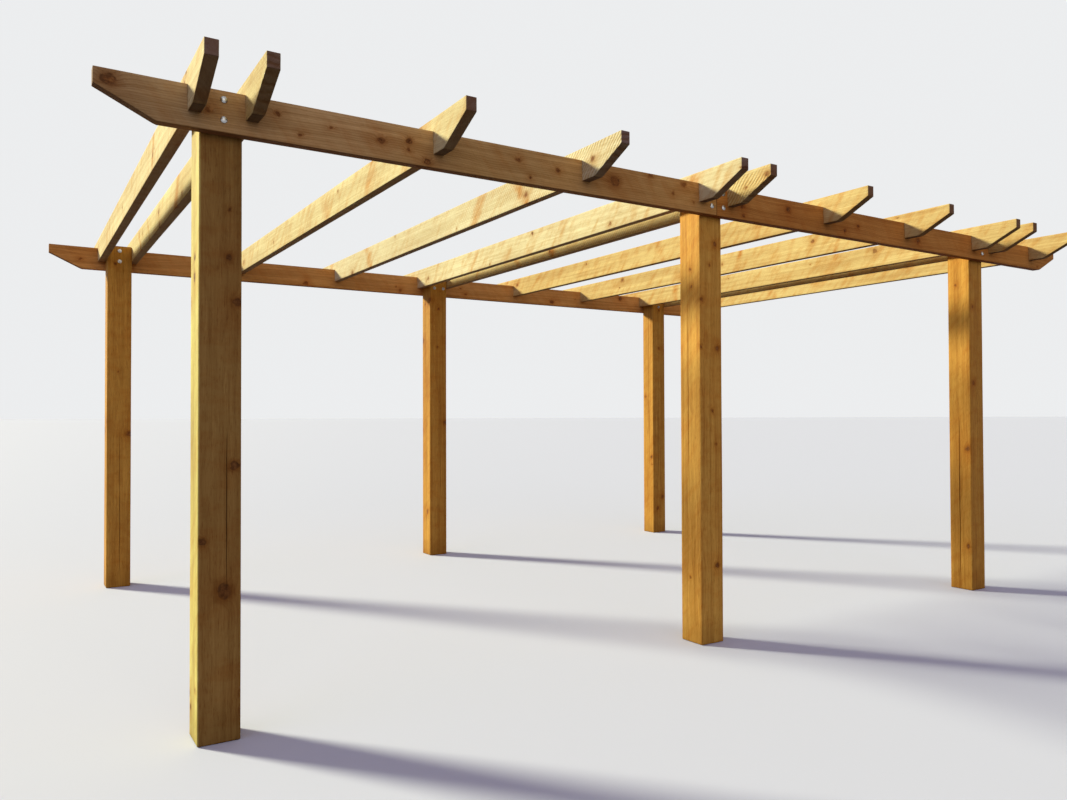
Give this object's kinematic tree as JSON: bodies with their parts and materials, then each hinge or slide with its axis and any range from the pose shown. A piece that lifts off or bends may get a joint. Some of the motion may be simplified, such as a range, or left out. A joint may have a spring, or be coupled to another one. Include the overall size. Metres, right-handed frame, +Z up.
{
  "type": "timber pergola",
  "caption": "Free-standing softwood pergola: rows of square posts carry face-bolted beams, with bevelled rafters notched over them and an overhang at one end.",
  "frame": {"origin": "on the ground under the middle of the frame's overall box", "axes": "+X along the beams from the near-left end, +Y from the front row of posts to the back row, +Z up"},
  "size_m": [6.13, 4.02, 2.38],
  "materials": {
    "post_timber": "planed pressure-treated softwood, satin, warm brown",
    "beam_timber": "sawn pressure-treated softwood, matt, warm brown",
    "rafter_timber": "sawn pressure-treated softwood, matt, golden brown"
  },
  "bodies": {
    "root": {"front_left_post": "post_timber", "front_middle_post": "post_timber", "front_right_post": "post_timber", "back_left_post": "post_timber", "back_middle_post": "post_timber", "back_right_post": "post_timber", "front_left_beam": "beam_timber", "front_right_beam": "beam_timber", "back_left_beam": "beam_timber", "back_right_beam": "beam_timber", "rafter_01": "rafter_timber", "rafter_02": "rafter_timber", "rafter_03": "rafter_timber", "rafter_04": "rafter_timber", "rafter_05": "rafter_timber", "rafter_06": "rafter_timber", "rafter_07": "rafter_timber", "rafter_08": "rafter_timber", "rafter_09": "rafter_timber", "rafter_10": "rafter_timber", "rafter_11": "rafter_timber"}
  },
  "joints": []
}
